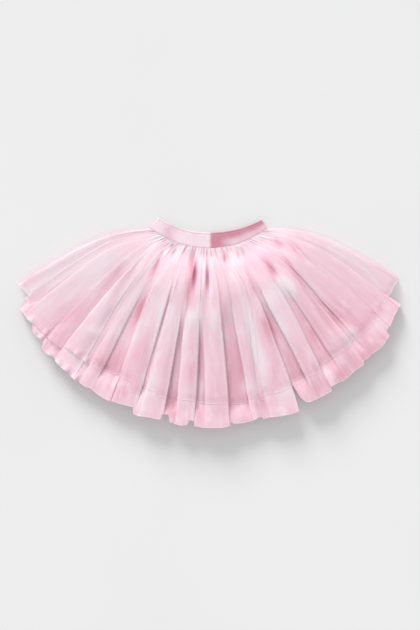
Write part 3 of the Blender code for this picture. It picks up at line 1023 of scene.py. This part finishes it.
class SKIRT_OT_outer_layer(bpy.types.Operator):
    """Models the front and the back of the shorter outer layer"""

    bl_idname = "skirt.outer_layer"
    bl_label = "Outer layer"

    def execute(self, context):
        sizes, colours = context.scene.skirt_sizes, context.scene.skirt_colours
        cloth = tulle_material("outer_tulle", colours, cover=0.46, glow=0.30)
        folds = list(range(len(FOLDS)))
        front = front_panel("outer_front_cloth", "outer", folds, 1.0, 1.0, OUTER_SIDE_Z, sizes)
        sew(front, "outer_front", cloth)
        back = back_panel("outer_back_cloth", "outer", 1.0, OUTER_BACK_Z, sizes)
        sew(back, "outer_back", cloth)
        return {"FINISHED"}


class SKIRT_OT_waistband(bpy.types.Operator):
    """Models the satin elastic waistband as a flattened loop"""

    bl_idname = "skirt.waistband"
    bl_label = "Waistband"

    def execute(self, context):
        sizes, colours = context.scene.skirt_sizes, context.scene.skirt_colours
        band = band_object(sizes)
        sew(band, "waistband", satin_material(colours))
        stitches = stitch_object(sizes)
        sew(stitches, None, thread_material(colours))
        return {"FINISHED"}


def band_height(sizes, angle):
    """The elastic is lower towards its side folds."""
    end = np.where(angle < 0, sizes.band_left, sizes.band_right)
    return mixed(sizes.band_height, end, (angle / WAIST_ANGLE) ** 2)


def band_turned(angles, lift):
    """How rose the satin looks, from 0 to 1, by its angle and its share of the height, as a painted
    sheen: pale on the left, where it is turned to the light, with a blush before the side fold, and
    rose on the right, where it is turned from the light, with a paler low part."""
    right = smooth(-0.3, 2.0, angles)
    blush = 0.32 * bell(-27, 4.5, angles) - 0.10 * smooth(-31, -38, angles)
    low_light = smooth(4, 16, angles) * (1 - smooth(0.25, 0.75, lift)) * 0.66
    # Deeper along the seam line, and a painted highlight along the top rim.
    seam = 0.16 * bell(SEAM_RISE, 0.03, lift) - 0.10 * (lift > 0.93)
    left_fold = 0.25 * smooth(-36.4, -37.25, angles)
    return np.clip(0.10 + blush + 0.88 * right * (1 - low_light) + seam + left_fold, 0, 1)


def band_object(sizes):
    """The loop: the front from left to right, round a side fold, and the back."""
    stretch, turn = 150, 10
    front = np.linspace(-BAND_END, BAND_END, stretch)
    around = np.linspace(0, math.pi, turn + 2)[1:-1]
    right_fold, left_fold = np.full(turn, BAND_END), np.full(turn, -BAND_END)
    angle = np.concatenate((front, right_fold, -front, left_fold))
    out = np.concatenate((np.zeros(stretch), np.sin(around), np.zeros(stretch), -np.sin(around)))
    up = np.concatenate((np.ones(stretch), np.cos(around), -np.ones(stretch), -np.cos(around)))
    rise = np.concatenate((np.linspace(0, 0.82, 14), np.linspace(0.85, 1, 9)))
    tall = band_height(sizes, angle)
    distance = sizes.waist_radius - rise[:, None] * tall[None, :]
    angles = np.broadcast_to(angle, distance.shape)
    flat = abs(up)[None, :] > 0.99
    pucker = 0.22 * MM * np.sin(angles * 5.1 + 1.2 * np.sin(angles * 0.9))
    pucker = pucker * bell(0, 0.35, rise[:, None]) * flat
    welt = bell(0.955, 0.035, rise) - bell(SEAM_RISE, 0.025, rise)
    relief = BAND_HALF_GAP + pucker + 0.25 * MM * welt[:, None]
    points = to_points(sizes, angles, distance, BAND_MIDDLE_Z + relief * up[None, :])
    turned = np.radians(angles)
    points[..., 0] += BAND_HALF_GAP * out[None, :] * np.cos(turned)
    points[..., 1] += BAND_HALF_GAP * out[None, :] * np.sin(turned)
    points = np.concatenate((points, points[:, :1]), axis=1)
    angles = np.concatenate((angles, angles[:, :1]), axis=1)
    across = np.broadcast_to(cloth_places(points[0]), angles.shape)
    lift = np.broadcast_to(rise[:, None], angles.shape)
    values = {
        "cloth": np.stack((across, lift * sizes.band_height), -1),
        "turned": band_turned(angles, lift),
    }
    piece = grid_object("waistband_satin", points, values)
    bm = bmesh.new()
    bm.from_mesh(piece.data)
    bmesh.ops.remove_doubles(bm, verts=bm.verts, dist=1e-6)
    bmesh.ops.recalc_face_normals(bm, faces=bm.faces)
    bm.to_mesh(piece.data)
    bm.free()
    add_wall(piece, BAND_WALL)
    edges = piece.modifiers.new("edges", "BEVEL")
    edges.width = 0.35 * MM
    edges.segments = 2
    edges.limit_method = "ANGLE"
    return piece


def stitch_object(sizes):
    """Small straight stitches along the lower edge of the band, front and back."""
    bm = bmesh.new()
    centre_x, centre_y = fan_centre(sizes)
    distance = sizes.waist_radius - 1.0 * MM
    end = WAIST_ANGLE - 1
    for top in (1, -1):
        height = BAND_MIDDLE_Z + top * (BAND_HALF_GAP + 0.62 * MM)
        for number in range(sizes.stitches):
            turned = math.radians(mixed(-end, end, (number + 0.5) / sizes.stitches))
            made = bmesh.ops.create_uvsphere(
                bm, u_segments=8, v_segments=5, radius=STITCH_RADIUS
            )
            verts = made["verts"]
            bmesh.ops.scale(bm, vec=STITCH_SHAPE, verts=verts)
            bmesh.ops.rotate(bm, matrix=Matrix.Rotation(turned, 3, "Z"), verts=verts)
            place = (
                centre_x + distance * math.sin(turned),
                centre_y - distance * math.cos(turned),
                height,
            )
            bmesh.ops.translate(bm, vec=place, verts=verts)
    for face in bm.faces:
        face.smooth = True
    mesh = bpy.data.meshes.new("gathering_stitches")
    bm.to_mesh(mesh)
    bm.free()
    piece = bpy.data.objects.new("gathering_stitches", mesh)
    bpy.context.scene.collection.objects.link(piece)
    return piece


# --- Stage. Lengths are in metres.

FLOOR_REACH = 12.0
ROOM_COLOUR = (0.98, 0.99, 1.0)
ROOM_STRENGTH = 0.843
WINDOW_COLOUR = (1.0, 0.985, 0.965)
WINDOW_STRENGTH = 3.62
WINDOW_WIDTH = math.radians(24)
WINDOW_PLACE = (-0.66, 1.69, 0.74)

# The height that the view takes in, and where it aims: right of the fan's point, down from it,
# and above the floor.
VIEW_HEIGHT = 1.008
CAMERA_AIM = (0.0016, 0.2597, 0.015)


class SKIRT_OT_stage(bpy.types.Operator):
    """Lays out the pale floor, the soft lights and the camera"""

    bl_idname = "skirt.stage"
    bl_label = "Stage"

    def execute(self, context):
        scene = context.scene
        sizes, colours = scene.skirt_sizes, scene.skirt_colours
        bm = bmesh.new()
        bmesh.ops.create_grid(bm, x_segments=2, y_segments=2, size=FLOOR_REACH)
        mesh = bpy.data.meshes.new("floor")
        bm.to_mesh(mesh)
        bm.free()
        floor = bpy.data.objects.new("floor", mesh)
        scene.collection.objects.link(floor)
        floor.data.materials.append(floor_material(colours))

        world = bpy.data.worlds.new("soft_room")
        world.use_nodes = True
        room = world.node_tree.nodes["Background"]
        room.inputs["Color"].default_value = rgba(ROOM_COLOUR)
        room.inputs["Strength"].default_value = ROOM_STRENGTH
        scene.world = world

        lamp = bpy.data.lights.new("window", "SUN")
        lamp.energy = WINDOW_STRENGTH
        lamp.color = WINDOW_COLOUR
        lamp.angle = WINDOW_WIDTH
        light = bpy.data.objects.new("window", lamp)
        light.location = WINDOW_PLACE
        light.rotation_euler = (-light.location).to_track_quat("-Z", "Y").to_euler()
        scene.collection.objects.link(light)

        lens = bpy.data.cameras.new("camera")
        lens.lens = 100.0
        lens.sensor_width = 36.0
        lens.clip_end = 20.0
        camera = bpy.data.objects.new("camera", lens)
        centre_x, centre_y = fan_centre(sizes)
        right, down, up = CAMERA_AIM
        distance = VIEW_HEIGHT * lens.lens / lens.sensor_width
        camera.location = (centre_x + right, centre_y - down, up + distance)
        scene.collection.objects.link(camera)
        scene.camera = camera
        scene.view_settings.view_transform = "Standard"
        return {"FINISHED"}


class SKIRT_PT_sidebar(bpy.types.Panel):
    """Lists the skirt's pieces"""

    bl_idname = "SKIRT_PT_sidebar"
    bl_label = "Tulle skirt"
    bl_space_type = "VIEW_3D"
    bl_region_type = "UI"
    bl_category = "Skirt"

    def draw(self, context):
        for operator in OPERATORS:
            self.layout.operator(operator.bl_idname)
        for group in (context.scene.skirt_sizes, context.scene.skirt_colours):
            for key in group.__annotations__:
                self.layout.prop(group, key)


OPERATORS = (
    SKIRT_OT_under_layer,
    SKIRT_OT_outer_layer,
    SKIRT_OT_waistband,
    SKIRT_OT_stage,
)
CLASSES = (SkirtSizes, SkirtColours, *OPERATORS, SKIRT_PT_sidebar)


def register():
    for cls in CLASSES:
        bpy.utils.register_class(cls)
    bpy.types.Scene.skirt_sizes = bpy.props.PointerProperty(type=SkirtSizes)
    bpy.types.Scene.skirt_colours = bpy.props.PointerProperty(type=SkirtColours)


def unregister():
    del bpy.types.Scene.skirt_colours
    del bpy.types.Scene.skirt_sizes
    for cls in reversed(CLASSES):
        bpy.utils.unregister_class(cls)


def main():
    register()
    bpy.ops.skirt.under_layer()
    bpy.ops.skirt.outer_layer()
    bpy.ops.skirt.waistband()
    bpy.ops.skirt.stage()


if __name__ == "__main__":
    main()
